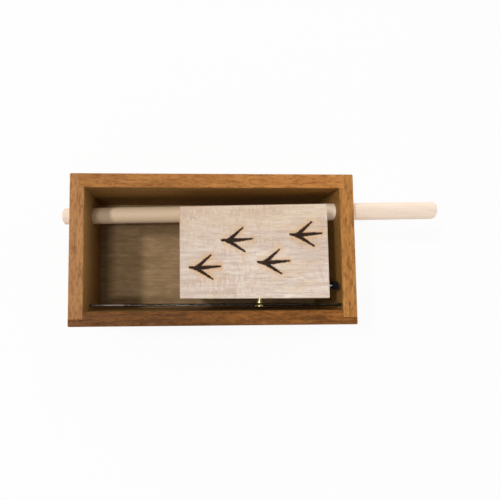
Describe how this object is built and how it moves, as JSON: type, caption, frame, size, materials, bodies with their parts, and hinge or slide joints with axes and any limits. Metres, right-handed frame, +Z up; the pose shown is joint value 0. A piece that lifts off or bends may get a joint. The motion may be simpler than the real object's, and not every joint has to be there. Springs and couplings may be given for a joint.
{
  "type": "push-rod bird call",
  "caption": "Open wooden box call: a sloping dowel slides an arched striker block over a sound bridge, beside a wire rail.",
  "frame": {"origin": "centre of the box's bottom face", "axes": "+X along the box towards the dowel's long free end, +Y towards the back wall beside the dowel, +Z up out of the box's open mouth"},
  "size_m": [0.1753, 0.0676, 0.0421],
  "materials": {
    "mahogany_wall": "sanded and thinly oiled, open pores",
    "mahogany_front": "sanded and thinly oiled, darker board",
    "sound_board_wood": "sanded, unfinished",
    "bridge_wood": "sanded, unfinished",
    "birch_dowel": "sanded, unfinished",
    "maple": "sanded, unfinished",
    "brass": "bright, slightly dulled",
    "spring_steel": "drawn, bright",
    "bright_steel": "bright",
    "black_rubber": "matte"
  },
  "bodies": {
    "box": {"back_wall": "mahogany_wall", "front_wall": "mahogany_front", "left_end_wall": "mahogany_wall", "right_end_wall": "mahogany_wall", "sound_board": "sound_board_wood", "sound_bridge": "bridge_wood", "rail_wire": "spring_steel"},
    "push_rod": {"push_rod": "birch_dowel"},
    "striker": {"striker_block": "maple", "rail_screw": "brass", "screw_washer": "brass", "bumper_pin": "bright_steel", "rubber_bumper": "black_rubber"}
  },
  "joints": [
    {"name": "rod_slide", "type": "slide", "parent": "box", "child": "push_rod", "axis": [0.9962, 0, 0.0872], "range_m": [-0.0417, 0.0015]},
    {"name": "striker_rock", "type": "hinge", "parent": "push_rod", "child": "striker", "pos_m": [0.01833, 0.01825, 0.0259], "axis": [-0.9962, 0, -0.0872], "range_deg": [0, 3]}
  ]
}
